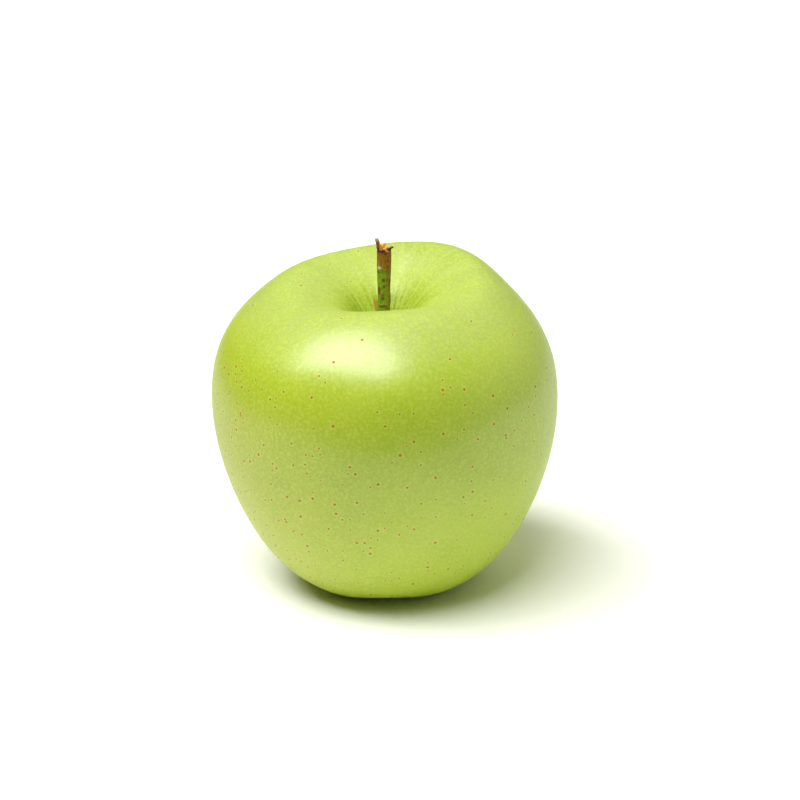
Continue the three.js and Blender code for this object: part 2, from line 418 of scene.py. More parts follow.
stem_low, stem_high = (Vector(corner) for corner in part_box("stem"))
stem_corners = rows_of(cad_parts["stem"], "co")
stem_foot = stem_corners[stem_corners[:, 2] < stem_low.z + STEM_FOOT_HEIGHT].mean(axis=0)
draw_in(places, stem_foot, STEM_HOLE_RADIUS, STEM_HOLE_AIR, places[:, 2] > CORE.z)
draw_in(places, CORE, CALYX_SEAT_RADIUS, CALYX_SEAT_AIR, places[:, 2] < CORE.z)
moved = np.linalg.norm(places - rows_of(fruit, "co"), axis=1)
print("drawn in: %d vertices, by %.2f mm at most" % ((moved > 0).sum(), moved.max() / MM))

# %% [markdown]
# Each vertex learns where it is on the fruit: how far from the core's axis, how far
# round it, its latitude as seen from the seed chamber and its share of the height. The
# azimuth starts at the right and goes round by the back. Relief and colour use these.
# A texture map could say as much, but it would have a seam.

# %% Where each point of the skin is
CAVITY_REACH = (14 * MM, 6 * MM)
BASIN_LATITUDES = (-60, -72)

across = places - np.array(CORE)
radius = np.hypot(across[:, 0], across[:, 1])
azimuth = np.arctan2(across[:, 1], across[:, 0])
latitude = np.degrees(np.arctan2(across[:, 2], radius))
height = places[:, 2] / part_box("fruit")[1][2]
on_top = latitude > 0
in_cavity = fade(radius, *CAVITY_REACH) * on_top
in_basin = fade(latitude, *BASIN_LATITUDES)
print("the fruit is %.1f mm in radius" % (radius.max() / MM))

# %% [markdown]
# ## The relief
#
# No apple is perfectly round. Broad swells, more than a centimetre across and a tenth of
# a millimetre high, bend the gleam, and lower ripples make its edge uneven. Shallow
# furrows run down the cavity between the lobes, each with its own place and depth, and
# fine creases gather the skin round the stem. A sculpting brush could make all of them,
# but moving the vertices by a formula gives the same skin at each run. The flats that
# the apple stands on keep their place, so that nothing sinks into the table, and so do
# the edges of the two joints. Blender's noise takes one place at a time, so `grain` is
# the only loop over the vertices.

# %% Noise, and vertices that move
def grain(places, size, seed=0):
    """Smooth noise between -1 and 1 at each place, with swells of the given size."""
    offset = Vector((seed * 17.3, seed * 5.1, seed * 9.7))
    return np.array([noise.noise(Vector(place) / size + offset) for place in places])


def move_to(piece, places):
    """Puts the vertices at new places."""
    piece.data.vertices.foreach_set("co", places.ravel())
    piece.data.update()


print("noise of 1 mm at the seed chamber: %.2f" % grain([CORE], MM)[0])

# %% The relief
SWELL_SIZE = 13 * MM
SWELL_HEIGHT = 0.12 * MM
RIPPLE_SIZE = 3.2 * MM
RIPPLE_HEIGHT = 0.022 * MM
FURROW_RADIUS = 13.0 * MM
FURROW_SPREAD = 6.5 * MM
FURROW_WANDER = 0.06
WANDER_SIZE = 9 * MM
CREASES = 31
CREASE_DEPTH = 0.015 * MM
CREASE_WANDER = 4
CREASE_REACH = (13 * MM, 5 * MM)
STANDING_HEIGHTS = (0.2 * MM, 1.5 * MM)
JOINT_EDGE = (2.2 * MM, 4.5 * MM)

# Azimuth and half width in degrees, depth in mm.
FURROWS = (
    (74, 9, 0.25),
    (132, 14, 0.25),
    (201, 15, 0.25),
    (285, 16, 0.10),
    (352, 15, 0.30),
)

swells = SWELL_HEIGHT * grain(places, SWELL_SIZE, seed=1)
ripples = RIPPLE_HEIGHT * grain(places, RIPPLE_SIZE, seed=2)
wander = grain(places, WANDER_SIZE, seed=3)
furrows = np.zeros(len(places))
for turn, half_width, depth in FURROWS:
    turned = np.angle(np.exp(1j * (azimuth - math.radians(turn))))
    turned += FURROW_WANDER * wander
    furrows += depth * MM * np.exp(-(turned / math.radians(half_width)) ** 2)
furrow_here = np.exp(-((radius - FURROW_RADIUS) / FURROW_SPREAD) ** 2) * on_top
creases = CREASE_DEPTH * np.sin(CREASES * azimuth + CREASE_WANDER * wander)
crease_here = fade(radius, *CREASE_REACH) * on_top

relief = swells + ripples - furrows * furrow_here - creases * crease_here
relief *= fade(places[:, 2], *STANDING_HEIGHTS)
relief *= fade(radius, *JOINT_EDGE)
move_to(fruit, places + relief[:, None] * rows_of(fruit, "normal"))
print("relief from %.2f to %.2f mm" % (relief.min() / MM, relief.max() / MM))

# %% [markdown]
# ## What grew where, and where light and shade are painted
#
# A material can't know that it is near the stem, so the mesh tells it. Each number here
# is a share, mostly between 0 and 1, that every vertex keeps: how pale its green is, how
# deep, how much bloom dusts it, how streaked it is and how much sun warmed it. Some of
# them carry painted light: the paleness stands partly for light from the paper on the
# lower half and for sheen on the right flank, the deepness is painted shade in the
# cavity and on the crest, and the bloom is partly painted sheen. They could be painted
# by hand, but a formula of height and azimuth reads better and repeats exactly. Each
# `fade` names the height, latitude or radius where its share is nothing, then the one
# where it is full. The streaks follow the growth lines, so they need a place that
# changes fast round the fruit and slowly along it: that is the vector called growth.

# %% Where the green changes
SUNNY_SIDE = math.radians(195)
PAINTED_SHEEN_SIDE = math.radians(-10)
GREEN_BELT_HEIGHT = 0.60
GREEN_BELT_WIDTH = 0.17
GROWTH_RADIUS = 40 * MM
GROWTH_STRETCH = 0.35


def store(piece, name, values):
    """Keeps a number, or a vector, for each vertex under a name."""
    values = np.asarray(values, dtype=float)
    kind, key = ("FLOAT", "value") if values.ndim == 1 else ("FLOAT_VECTOR", "vector")
    piece.data.attributes.new(name, kind, "POINT").data.foreach_set(key, values.ravel())


sunny = (1 + np.cos(azimuth - SUNNY_SIDE)) / 2
painted_sheen_side = (1 + np.cos(azimuth - PAINTED_SHEEN_SIDE)) / 2

green_belt = np.exp(-((height - GREEN_BELT_HEIGHT) / GREEN_BELT_WIDTH) ** 2)
# Painted sheen: the right flank is painted paler to stand for the pale gleam on it.
painted_sheen_flank = 0.35 * painted_sheen_side ** 3 * fade(height, 1.0, 0.8)
# Partly painted light: paler away from the middle, which on the lower half stands for light
# from the white paper.
store(fruit, "pale_and_painted_light", 0.68 - 0.66 * green_belt + painted_sheen_flank)
# Painted shade: the cavity and the crest are painted a deeper green.
store(fruit, "deep_green_and_shade", np.maximum(in_cavity, 0.3 * fade(height, 0.93, 0.99)))

# Painted sheen: the bloom colour is laid on the right flank for the pale gleam there.
painted_sheen_bloom_flank = 0.8 * painted_sheen_side ** 4 * fade(height, 0.45, 0.75)
dusty_and_sheen = np.maximum(fade(height, 0.76, 0.92), painted_sheen_bloom_flank)
store(fruit, "bloom_and_sheen", 0.9 * dusty_and_sheen * (1 - 0.6 * in_cavity))

stretched = 0.1 * fade(latitude, 35, 55) + 0.3 * in_cavity + 0.4 * in_basin
store(fruit, "streaking", 0.15 + stretched)
store(fruit, "warmth", sunny ** 3 * fade(height, 0.95, 0.6))
store(fruit, "growth", GROWTH_RADIUS * np.column_stack([
    np.cos(azimuth), np.sin(azimuth), GROWTH_STRETCH * np.radians(latitude),
]))
print("bloom: %.0f%% of the skin is dusty" % (100 * (dusty_and_sheen > 0.5).mean()))

# %% [markdown]
# Lenticels are few on the shoulder, many lower down and most of all on the sunny side.
# Cork forms where the skin is torn most: round the stem, with one tongue that runs up
# the cavity, and round the eye. The wax gets its polish from leaves and hands, which
# reach all of the fruit but the cavity.

# %% Where the lenticels, the cork and the polish are
RUSSET_TONGUE = math.radians(112)
TONGUE_HALF_WIDTH = math.radians(9)
COAT_SHARE = 0.22

pore_share = 0.04 + 0.15 * fade(height, 0.93, 0.58)
pore_share += 0.35 * sunny ** 4 * fade(height, 0.9, 0.6)
store(fruit, "pore_share", pore_share * (1 - 0.5 * fade(height, 0.16, 0.03)))

off_tongue = np.angle(np.exp(1j * (azimuth - RUSSET_TONGUE)))
tongue = 0.9 * np.exp(-(off_tongue / TONGUE_HALF_WIDTH) ** 2)
tongue *= fade(radius, 10 * MM, 6 * MM)
by_stem = np.maximum(fade(radius, 6 * MM, 2 * MM), tongue)
by_eye = 0.6 * fade(radius, 7 * MM, 3 * MM)
store(fruit, "cork", np.where(on_top, by_stem, by_eye))

unpolished = 0.7 * fade(radius, 20 * MM, 10 * MM) * on_top
store(fruit, "polish", COAT_SHARE * (1 - unpolished))
print("attributes of the mesh, with Blender's own:", len(fruit.data.attributes))

# %% [markdown]
# ## The skin
#
# The skin is cuticle, a thin translucent film that the fruit grew, under wax that it
# sweated out. It is nearly colourless itself: the green is chlorophyll a little below
# it. So the material is a plastic-like shader with some light let in under the surface,
# which gives the eye its soft glow, and a second, clearer coat for the wax, which
# spreads the softbox into a broad gleam. The green is deepest round the middle and paler
# towards the foot, with clouds a centimetre or two across, since it never forms evenly.
# The paler foot is partly painted light from the white paper below, and the crest and
# the cavity are painted a deeper green, which is painted shade. On the shoulder, where
# nothing rubs, the wax keeps its greyish bloom; the bloom colour is also painted sheen,
# there and on the right flank. A painted image could hold all this too, but its pixels
# would show close up.

# %% The skin's green
SKIN_GREEN = "#99B608"
# Partly painted light: this paler green also stands for light from the paper below and
# sheen on the right flank.
SKIN_PALE_AND_PAINTED_LIGHT = "#ADC518"
# Painted shade: this deeper green stands for the shade in the cavity and on the crest.
SKIN_DEEP_AND_SHADE = "#86A00A"
SKIN_WARM = "#BEB440"
# Partly painted sheen: the bloom colour also stands for the pale gleam on the shoulder.
SKIN_BLOOM_AND_SHEEN = "#A6B85C"
CLOUD_SIZE = 14 * MM
WARM_SHARE = 0.35

waxy_skin, tree, output = new_material("waxy_apple_skin")
place = add_node(tree, "ShaderNodeTexCoord").outputs["Object"]
grown = {
    name: add_node(tree, "ShaderNodeAttribute", attribute_name=name).outputs["Fac"]
    for name in (
        "pale_and_painted_light", "deep_green_and_shade", "bloom_and_sheen", "streaking", "warmth",
        "pore_share", "cork", "polish",
    )
}
growth = add_node(tree, "ShaderNodeAttribute", attribute_name="growth").outputs["Vector"]

clouds = add_node(tree, "ShaderNodeTexNoise", {
    "Vector": place, "Scale": 1 / CLOUD_SIZE, "Detail": 3.0, "Roughness": 0.6,
})
cloudy = add_node(tree, "ShaderNodeMapRange", {
    "Value": clouds.outputs["Fac"],
    "From Min": 0.3, "From Max": 0.7, "To Min": -0.3, "To Max": 0.3,
})
# The paleness, partly painted light and painted sheen, with clouds added.
paler_and_painted_light = add_node(tree, "ShaderNodeMath", {
    0: cloudy.outputs["Result"], 1: grown["pale_and_painted_light"],
}, operation="ADD", use_clamp=True)
warm_share = add_node(tree, "ShaderNodeMath", {
    0: grown["warmth"], 1: WARM_SHARE,
}, operation="MULTIPLY")
print("values that the skin reads:", len(grown) + 1)

# %% [markdown]
# Fine pale streaks run from the stem towards the eye, strongest in the cavity, where the
# skin is stretched and the green between them is deep, deepened further by painted
# shade. Between them lies an even mottle of pale flecks, a little over half a millimetre
# wide. The bloom is a powder with grains of a few thousandths of a millimetre, too fine
# to show, so it is drawn in wisps of 1.6 mm, along the same lines as the streaks; the
# wisps also break up the painted sheen that the bloom colour carries. Streaks and wisps
# have their full width where the fruit is widest, and narrow towards the stem and the
# eye as real ones do.

# %% The skin's streaks and flecks
STREAK_PALE = "#C8D860"
STREAK_WIDTH = 4.5 * MM
WISP_SIZE = 1.6 * MM
FLECK_PALE = "#C8D65C"
FLECK_SIZE = 0.65 * MM

streaks = add_node(tree, "ShaderNodeTexNoise", {
    "Vector": growth, "Scale": 1 / STREAK_WIDTH, "Detail": 3.0, "Roughness": 0.65,
})
streak_shape = add_node(tree, "ShaderNodeMapRange", {
    "Value": streaks.outputs["Fac"],
    "From Min": 0.42, "From Max": 0.75, "To Min": 0.0, "To Max": 0.6,
})
streak_share = add_node(tree, "ShaderNodeMath", {
    0: streak_shape.outputs["Result"], 1: grown["streaking"],
}, operation="MULTIPLY")
between_streaks = add_node(tree, "ShaderNodeMapRange", {
    "Value": streaks.outputs["Fac"],
    "From Min": 0.65, "From Max": 0.35, "To Min": 0.2, "To Max": 1.0,
})
# Painted shade, deepest in the cavity between the streaks.
deep_and_shade_share = add_node(tree, "ShaderNodeMath", {
    0: between_streaks.outputs["Result"], 1: grown["deep_green_and_shade"],
}, operation="MULTIPLY")
wisps = add_node(tree, "ShaderNodeTexNoise", {
    "Vector": growth, "Scale": 1 / WISP_SIZE, "Detail": 4.0, "Roughness": 0.7,
})
wispy = add_node(tree, "ShaderNodeMapRange", {
    "Value": wisps.outputs["Fac"],
    "From Min": 0.3, "From Max": 0.7, "To Min": 0.45, "To Max": 1.4,
})
# Bloom, partly painted sheen, broken into wisps.
bloom_and_sheen_share = add_node(tree, "ShaderNodeMath", {
    0: wispy.outputs["Result"], 1: grown["bloom_and_sheen"],
}, operation="MULTIPLY", use_clamp=True)
flecks = add_node(tree, "ShaderNodeTexNoise", {
    "Vector": place, "Scale": 1 / FLECK_SIZE, "Detail": 2.0, "Roughness": 0.6,
})
fleck_share = add_node(tree, "ShaderNodeMapRange", {
    "Value": flecks.outputs["Fac"],
    "From Min": 0.42, "From Max": 0.70, "To Min": 0.0, "To Max": 0.5,
})
print("streaks %.1f mm wide, flecks %.2f mm" % (STREAK_WIDTH / MM, FLECK_SIZE / MM))

# %% [markdown]
# Lenticels are the fruit's breathing pores. Small discs could be laid on the skin, but
# they would stand off it. A Voronoi pattern in the shader puts one point in each cell of
# space instead. A point that lies near enough to the skin makes a pore: the distance to
# it is measured along the skin, so that every dot is round, and a number drawn for the
# cell says whether it has a pore at all.

# %% Where the lenticels are
PORE_CELL = 1.6 * MM
PORE_DEPTH = 0.4 * MM

facing = add_node(tree, "ShaderNodeTexCoord").outputs["Normal"]
pores = add_node(tree, "ShaderNodeTexVoronoi", {"Vector": place, "Scale": 1 / PORE_CELL})
drawn = add_node(tree, "ShaderNodeSeparateColor", {"Color": pores.outputs["Color"]})
from_point = add_node(tree, "ShaderNodeVectorMath", {
    0: place, 1: pores.outputs["Position"],
}, operation="SUBTRACT").outputs[0]
into_skin = add_node(tree, "ShaderNodeVectorMath", {
    0: from_point, 1: facing,
}, operation="PROJECT").outputs[0]
along_skin = add_node(tree, "ShaderNodeVectorMath", {
    0: from_point, 1: into_skin,
}, operation="SUBTRACT").outputs[0]
pore_distance = add_node(tree, "ShaderNodeVectorMath", {0: along_skin}, operation="LENGTH")
pore_depth = add_node(tree, "ShaderNodeVectorMath", {0: into_skin}, operation="LENGTH")
near_skin = add_node(tree, "ShaderNodeMath", {
    0: pore_depth.outputs["Value"], 1: PORE_DEPTH,
}, operation="LESS_THAN")
chosen = add_node(tree, "ShaderNodeMath", {
    0: drawn.outputs["Red"], 1: grown["pore_share"],
}, operation="LESS_THAN")
has_pore = add_node(tree, "ShaderNodeMath", {
    0: near_skin.outputs[0], 1: chosen.outputs[0],
}, operation="MULTIPLY")
print("room for one lenticel in each %.1f mm of skin" % (PORE_CELL / MM))

# %% [markdown]
# Each lenticel is an orange-brown cork dot about half a millimetre wide, in a faint pale
# ring where the cork has lifted the skin. Another number drawn for the cell scales the
# distances in it: a scale below one makes a wide pore, and one above it a small pore.

# %% How a lenticel looks
PORE_CORK = "#A87400"
PORE_RING = "#CEDC78"
PORE_RADIUS = 0.38 * MM
PORE_RING_RADIUS = 0.62 * MM
PORE_SCALES = (0.68, 1.35)

pore_scale = add_node(tree, "ShaderNodeMapRange", {
    "Value": drawn.outputs["Green"], "To Min": PORE_SCALES[0], "To Max": PORE_SCALES[1],
})
pore_scaled = add_node(tree, "ShaderNodeMath", {
    0: pore_distance.outputs["Value"], 1: pore_scale.outputs["Result"],
}, operation="MULTIPLY")

pore_shares = {}
for colour, outer, inner, share in (
    (PORE_RING, PORE_RING_RADIUS, 1.2 * PORE_RADIUS, 0.3),
    (PORE_CORK, PORE_RADIUS, 0.35 * PORE_RADIUS, 0.95),
):
    shape = add_node(tree, "ShaderNodeMapRange", {
        "Value": pore_scaled.outputs[0],
        "From Min": outer, "From Max": inner, "To Min": 0.0, "To Max": share,
    }, interpolation_type="SMOOTHSTEP")
    pore_shares[colour] = add_node(tree, "ShaderNodeMath", {
        0: shape.outputs["Result"], 1: has_pore.outputs[0],
    }, operation="MULTIPLY").outputs[0]
print("the widest ring: %.1f mm" % (2 * PORE_RING_RADIUS / PORE_SCALES[0] / MM))

# %% [markdown]
# Where the stem and the calyx join, the skin cracked as the fruit grew and healed with
# thin tan cork, called russet. It starts at the joint and runs out in ragged rays. A
# mask could be painted by hand, but a noise along the growth lines makes the rays by
# itself: it is added to the mesh's own share of cork, and only where the sum is high
# does the cork show.

# %% The skin's russet
RUSSET = "#A07C34"
RUSSET_RAY = 6 * MM

rays = add_node(tree, "ShaderNodeTexNoise", {
    "Vector": growth, "Scale": 1 / RUSSET_RAY, "Detail": 4.0, "Roughness": 0.7,
})
ragged = add_node(tree, "ShaderNodeMath", {
    0: grown["cork"], 1: rays.outputs["Fac"],
}, operation="ADD")
russet_share = add_node(tree, "ShaderNodeMapRange", {
    "Value": ragged.outputs[0],
    "From Min": 0.95, "From Max": 1.35, "To Min": 0.0, "To Max": 0.85,
}, interpolation_type="SMOOTHSTEP")
print("a russet ray every %.0f degrees" % math.degrees(RUSSET_RAY / GROWTH_RADIUS))

# %% [markdown]
# The layers now lie one over the other, from the green of the flesh to the cork on top.
# Each could be a shader of its own, but they differ in colour alone, and mixing colours
# is quicker to render. A list gives their order, and a loop mixes them.

# %% The skin, layer by layer
# The pale, bloom and deep layers carry painted light, painted sheen and painted shade.
skin_layers = (
    (paler_and_painted_light.outputs[0], SKIN_PALE_AND_PAINTED_LIGHT),
    (bloom_and_sheen_share.outputs[0], SKIN_BLOOM_AND_SHEEN),
    (deep_and_shade_share.outputs[0], SKIN_DEEP_AND_SHADE),
    (warm_share.outputs[0], SKIN_WARM),
    (streak_share.outputs[0], STREAK_PALE),
    (fleck_share.outputs["Result"], FLECK_PALE),
    (pore_shares[PORE_RING], PORE_RING),
    (pore_shares[PORE_CORK], PORE_CORK),
    (russet_share.outputs["Result"], RUSSET),
)
skin_colour = linear(SKIN_GREEN)
for share, colour in skin_layers:
    skin_colour = add_node(tree, "ShaderNodeMix", {
        "Factor_Float": share, "A_Color": skin_colour, "B_Color": linear(colour),
    }, data_type="RGBA").outputs[2]
print("layers of colour on the skin:", len(skin_layers))

# %% [markdown]
# Cork is dry and matt, so it carries no wax. Its faces could have a material of their
# own, but a dot is hardly larger than a face. So where there is cork, the coat's weight
# goes to nothing and what little the surface mirrors takes the colour of the cork.
# Elsewhere the mirrored light keeps a trace of the flesh below it.

# %% The wax leaves the cork bare
UNDER_WAX = "#FFFFC4"

corky = add_node(tree, "ShaderNodeMath", {
    0: pore_shares[PORE_CORK], 1: russet_share.outputs["Result"],
}, operation="MAXIMUM")
clean = add_node(tree, "ShaderNodeMath", {
    0: 1.0, 1: corky.outputs[0],
}, operation="SUBTRACT")
polished = add_node(tree, "ShaderNodeMath", {
    0: clean.outputs[0], 1: grown["polish"],
}, operation="MULTIPLY")
gleam_colour = add_node(tree, "ShaderNodeMix", {
    "Factor_Float": corky.outputs[0],
    "A_Color": linear(UNDER_WAX), "B_Color": linear(PORE_CORK),
}, data_type="RGBA")
print("the coat has at most %.0f%% of its full weight" % (100 * COAT_SHARE))

# %% [markdown]
# Cuticle and wax both have an IOR of about 1.45. The wax is patchy, so its coat has only
# a fifth of its full weight, and its own IOR is raised to 2.6 to make up for that: the
# gleam is as strong face on, while the rims stay green, as they do where wax is worn.
# The bump is the unevenness of the skin under the wax, which breaks up the edge of the
# gleam. Skin cells are a few hundredths of a millimetre wide, too fine to show, so the
# unevenness is drawn 0.9 mm wide.

# %% The skin's shader
SKIN_CELLS = 0.9 * MM
SKIN_UNEVENNESS = 0.045 * MM
LIGHT_REACH = 1.5 * MM

unevenness = add_node(tree, "ShaderNodeTexNoise", {
    "Vector": place, "Scale": 1 / SKIN_CELLS, "Detail": 2.0,
})
bumps = add_node(tree, "ShaderNodeBump", {
    "Height": unevenness.outputs["Fac"], "Strength": 1.0, "Distance": SKIN_UNEVENNESS,
})
skin = add_node(tree, "ShaderNodeBsdfPrincipled", {
    "Base Color": skin_colour,
    "Specular Tint": gleam_colour.outputs[2],
    "Roughness": 0.5,
    "IOR": 1.45,
    "Subsurface Weight": 0.12,
    "Subsurface Radius": (1.0, 1.2, 0.3),
    "Subsurface Scale": LIGHT_REACH,
    "Coat Weight": polished.outputs[0],
    "Coat Roughness": 0.30,
    "Coat IOR": 2.6,
    "Normal": bumps.outputs["Normal"],
})
tree.links.new(skin.outputs["BSDF"], output.inputs["Surface"])
fruit.data.materials.append(waxy_skin)
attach(fruit, "root")
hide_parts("fruit")
print("skin: %d vertices, %d shader nodes" % (len(places), len(tree.nodes)))

# %% [markdown]
# ## The stem
#
# The stem is a slim green twig that turned brown at its torn end. Its solid already has
# the torn cup and the splinters. Subdivision would round the splinters away, so a voxel
# remesh makes one even skin of it instead, an eighth of a millimetre fine, and a little
# smoothing takes off the edges, because bark has none.

# %% The stem's surface
BARK_FINENESS = 0.12 * MM
TALL_SPLINTER = 2.6 * MM
BELOW_THE_TEAR = 1 * MM


def even_skin(name, node, fineness, smoothing):
    """A piece with the form of a solid and small faces of one size."""
    piece = new_piece(name, surface_of(node))
    remesh = piece.modifiers.new("even", "REMESH")
    remesh.mode = "VOXEL"
    remesh.voxel_size = fineness
    piece.modifiers.new("soft", "SMOOTH").iterations = smoothing
    apply_modifiers(piece)
    return piece


stem = even_skin("apple_stem", "stem", BARK_FINENESS, smoothing=3)
rim_height = stem_high.z - TALL_SPLINTER
places = rows_of(stem, "co")
stalk = stem_corners[stem_corners[:, 2] < rim_height - BELOW_THE_TEAR]
bends = [np.polyfit(stalk[:, 2], stalk[:, axis], 2) for axis in (0, 1)]
across = places[:, :2] - np.column_stack([np.polyval(bend, places[:, 2]) for bend in bends])
radius = np.hypot(across[:, 0], across[:, 1])
azimuth = np.arctan2(across[:, 1], across[:, 0])
below_rim = rim_height - places[:, 2]
print("stem: %d vertices, %.1f mm long" % (len(places), (stem_high.z - stem_low.z) / MM))

# %% [markdown]
# Bark is ribbed along the stem and has scars where bud scales and leaves once sat. Each
# scar is a low swelling with its own place, given by how far round and how far below
# the rim it is, so that one list serves for its form and its colour. The foot flares
# into the flesh, the wood inside the torn cup stands in coarse fibres, and the tips of
# the splinters are a little thicker than the solid's. A bump in the material would fake
# all this, but the outline of so thin a stem would stay straight.

# %% The bark's relief
RIB_HEIGHT = 0.05 * MM
RIB_SPACING = 0.7 * MM
RIB_LENGTH = 6 * MM
SCAR_HEIGHT = 0.09 * MM
FOOT_FLARE = 0.5 * MM
FLARE_REACH = (6 * MM, 2 * MM)
SPLINTER_SWELL = 0.13 * MM
CUP_RADIUS = 1.05 * MM
CUP_DEPTH = 1.8 * MM
PIT_SIZE = 0.35 * MM
PIT_HEIGHT = 0.02 * MM

# Azimuth in degrees, millimetres below the rim, half width and half length in mm.
BARK_SCARS = [
    (222, 4.9, 0.35, 0.35), (268, 6.6, 0.4, 0.5), (275, 8.2, 0.4, 0.5),
    (224, 9.3, 0.4, 1.1), (258, 10.7, 0.45, 1.0), (262, 12.9, 1.2, 0.4),
    (330, 7.2, 0.4, 0.8), (350, 11.5, 0.5, 1.4), (40, 7.5, 0.4, 0.7),
    (75, 11.0, 0.5, 0.9), (120, 9.0, 0.4, 0.6), (165, 12.5, 0.5, 1.0),
]


def spots(centres):
    """How near each point of the bark is to a spot: 1 in its middle, 0 outside."""
    nearness = np.zeros(len(places))
    for turn, depth, half_width, half_length in centres:
        round_about = np.angle(np.exp(1j * (azimuth - math.radians(turn)))) * radius
        along = below_rim - depth * MM
        distance = np.hypot(round_about / (half_width * MM), along / (half_length * MM))
        nearness = np.maximum(nearness, fade(distance, 1.25, 0.55))
    return nearness


bark_place = np.column_stack([across, places[:, 2] * (RIB_SPACING / RIB_LENGTH)])
ribs = grain(bark_place, RIB_SPACING, seed=4)
scars = spots(BARK_SCARS)
inside = fade(radius, 1.15 * CUP_RADIUS, 0.95 * CUP_RADIUS)
inside *= fade(below_rim, CUP_DEPTH, 0.9 * CUP_DEPTH)
flare_start, flare_end = (stem_low.z + reach for reach in FLARE_REACH)
flare = FOOT_FLARE * fade(places[:, 2], flare_start, flare_end)
lift = RIB_HEIGHT * ribs * (1 + 1.5 * inside) + SCAR_HEIGHT * scars + flare * (1 - inside)
lift += SPLINTER_SWELL * fade(below_rim, 0, -0.5 * MM)
lift += PIT_HEIGHT * grain(places, PIT_SIZE, seed=5)
move_to(stem, places + lift[:, None] * rows_of(stem, "normal"))
print("bark from %.2f to %.2f mm" % (lift.min() / MM, lift.max() / MM))

# %% [markdown]
# The colours follow the same places: green below, brown above, more brown on the right
# side, away from the softbox, which is partly painted shade, red-brown scars, a
# purple-brown rim, one pale patch of lichen, a weathered grey tip on the tall splinter
# and bare orange wood in the cup.
# As on the skin, the mesh keeps a share of each for the material to read.

# %% What the bark is where
BROWN_FROM = 5.8 * MM
BROWN_TO = 2.4 * MM
# Partly painted shade: the side painted browner faces away from the softbox.
BROWN_AND_SHADE_SIDE = math.radians(345)
PATCH_SIZE = 1.4 * MM
LICHEN_SPOT = [(232, 3.9, 0.5, 0.45)]

uneven = grain(places, PATCH_SIZE, seed=6)
shaded = (1 + np.cos(azimuth - BROWN_AND_SHADE_SIDE)) / 2
brown_top = fade(below_rim + 1.2 * MM * uneven, BROWN_FROM, BROWN_TO)
# Partly painted shade: the side away from the softbox is painted browner.
brown_and_shade_side = 0.55 * fade(shaded + 0.15 * uneven, 0.55, 1.0)
store(stem, "browning_and_shade", np.clip(brown_top + brown_and_shade_side, 0, 1))
store(stem, "scarring", np.clip(scars * (0.8 + 0.4 * uneven), 0, 1))
at_rim = fade(below_rim, 1.1 * MM, 0.1 * MM) * fade(below_rim, -1.2 * MM, -0.2 * MM)
store(stem, "rim", 0.3 * fade(below_rim, 0.5 * MM, 0) + 0.7 * at_rim)
lichen = spots(LICHEN_SPOT) * fade(uneven, -0.9, -0.3)
weathered_tip = 0.5 * fade(below_rim, -1.8 * MM, -2.4 * MM)
store(stem, "lichen", np.maximum(lichen, weathered_tip))
store(stem, "bare_wood", inside)
print("brown bark: %.0f%% of the stem" % (100 * (brown_top + brown_and_shade_side > 0.5).mean()))

# %% [markdown]
# Young bark grows as a thin dry skin over green tissue. It is matt with a slight gloss,
# so it gives the eye a dull shimmer and no clear gleam. Two plain colours would look
# like paint, so one noise with patches half a millimetre wide mixes a lighter and a
# darker tone into the green and into the brown.

# %% The bark's light and dark tones
BARK_GREEN = "#84A40C"
BARK_GREEN_DARK = "#54680A"
BARK_BROWN = "#A26E10"
BARK_BROWN_DARK = "#4A2A08"
BARK_MOTTLE = 0.5 * MM

stem_bark, tree, output = new_material("young_apple_bark")
place = add_node(tree, "ShaderNodeTexCoord").outputs["Object"]
grown = {
    name: add_node(tree, "ShaderNodeAttribute", attribute_name=name).outputs["Fac"]
    for name in ("browning_and_shade", "scarring", "rim", "lichen", "bare_wood")
}
mottle = add_node(tree, "ShaderNodeTexNoise", {
    "Vector": place, "Scale": 1 / BARK_MOTTLE, "Detail": 3.0, "Roughness": 0.6,
})
dark_share = add_node(tree, "ShaderNodeMapRange", {
    "Value": mottle.outputs["Fac"],
    "From Min": 0.42, "From Max": 0.68, "To Min": 0.0, "To Max": 0.8,
})
tones = {}
for light, dark in ((BARK_GREEN, BARK_GREEN_DARK), (BARK_BROWN, BARK_BROWN_DARK)):
    tones[light] = add_node(tree, "ShaderNodeMix", {
        "Factor_Float": dark_share.outputs["Result"],
        "A_Color": linear(light), "B_Color": linear(dark),
    }, data_type="RGBA").outputs[2]
print("grounds with two tones each:", len(tones))

# %% [markdown]
# The colours that the mesh placed are laid over the green one by one, as the skin's
# were. The bump raises the same patches that the noise made darker, as the pimples of
# young bark are.

# %% The bark, layer by layer
BARK_SCAR = "#6E2A10"
BARK_RIM = "#4E1A14"
LICHEN_GREY = "#C9BFB4"
WOOD_ORANGE = "#E09A38"
BARK_ROUGHNESS = 0.08 * MM

bark_colour = tones[BARK_GREEN]
for name, colour in (
    ("browning_and_shade", tones[BARK_BROWN]),
    ("scarring", linear(BARK_SCAR)),
    ("rim", linear(BARK_RIM)),
    ("lichen", linear(LICHEN_GREY)),
    ("bare_wood", linear(WOOD_ORANGE)),
):
    bark_colour = add_node(tree, "ShaderNodeMix", {
        "Factor_Float": grown[name], "A_Color": bark_colour, "B_Color": colour,
    }, data_type="RGBA").outputs[2]
bark_grain = add_node(tree, "ShaderNodeBump", {
    "Height": mottle.outputs["Fac"], "Strength": 1.0, "Distance": BARK_ROUGHNESS,
})
bark = add_node(tree, "ShaderNodeBsdfPrincipled", {
    "Base Color": bark_colour,
    "Roughness": 0.55,
    "Normal": bark_grain.outputs["Normal"],
})
tree.links.new(bark.outputs["BSDF"], output.inputs["Surface"])
stem.data.materials.append(stem_bark)
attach(stem, "root")
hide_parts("stem")
print("stem: %d shader nodes" % len(tree.nodes))

